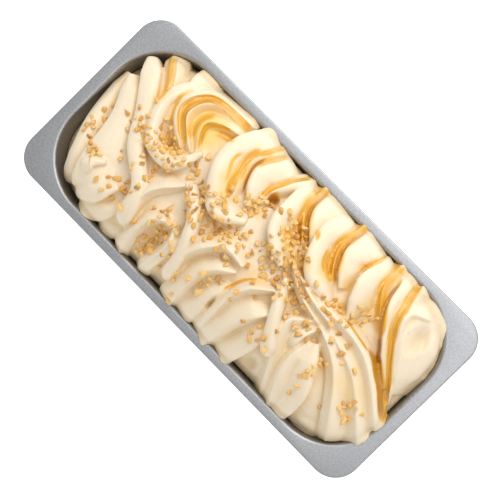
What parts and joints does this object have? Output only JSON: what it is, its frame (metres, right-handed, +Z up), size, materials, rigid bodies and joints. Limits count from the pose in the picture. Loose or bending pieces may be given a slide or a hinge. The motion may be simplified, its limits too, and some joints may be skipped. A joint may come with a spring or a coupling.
{
  "type": "gelato display pan",
  "caption": "Oblong stainless display pan heaped with sculpted cream gelato, with folds along the front, deep curls with caramel bands along the back, and chopped nuts.",
  "frame": {"origin": "centre of the pan's underside, on the surface it stands on", "axes": "+X along the pan towards the end with the smooth lobe, +Y to the side with the caramel curls, +Z up"},
  "size_m": [0.36, 0.165, 0.1703],
  "materials": {
    "pressed_steel": "satin, faintly grained",
    "gelato_cream": "soft satin cream with caramel bands",
    "chopped_nuts": "matt, toasted"
  },
  "bodies": {
    "root": {"pan": "pressed_steel", "gelato": "gelato_cream"}
  },
  "joints": []
}
